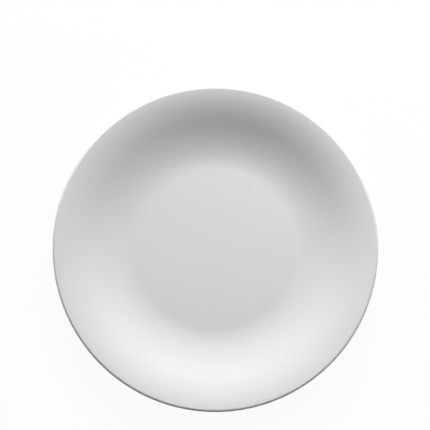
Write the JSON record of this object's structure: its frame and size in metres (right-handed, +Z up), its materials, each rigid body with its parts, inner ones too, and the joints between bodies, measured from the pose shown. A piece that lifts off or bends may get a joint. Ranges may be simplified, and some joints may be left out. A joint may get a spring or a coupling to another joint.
{
  "type": "flat plate",
  "caption": "Round white porcelain flat plate with a flat well, a wall that sweeps up and flares to a rolled lip, and a bare foot ring to stand on.",
  "frame": {"origin": "on the table, under the centre of the plate, in the plane of the foot ring", "axes": "+Z up out of the well, along the axis the plate is turned on; X and Y are alike"},
  "size_m": [0.27, 0.27, 0.026],
  "materials": {
    "porcelain": "unglazed fired porcelain, matt, smoothed on the foot",
    "glaze": "clear gloss glaze over white porcelain"
  },
  "bodies": {
    "root": {"porcelain_body": "porcelain", "glaze_coat": "glaze", "base_glaze": "glaze"}
  },
  "joints": []
}
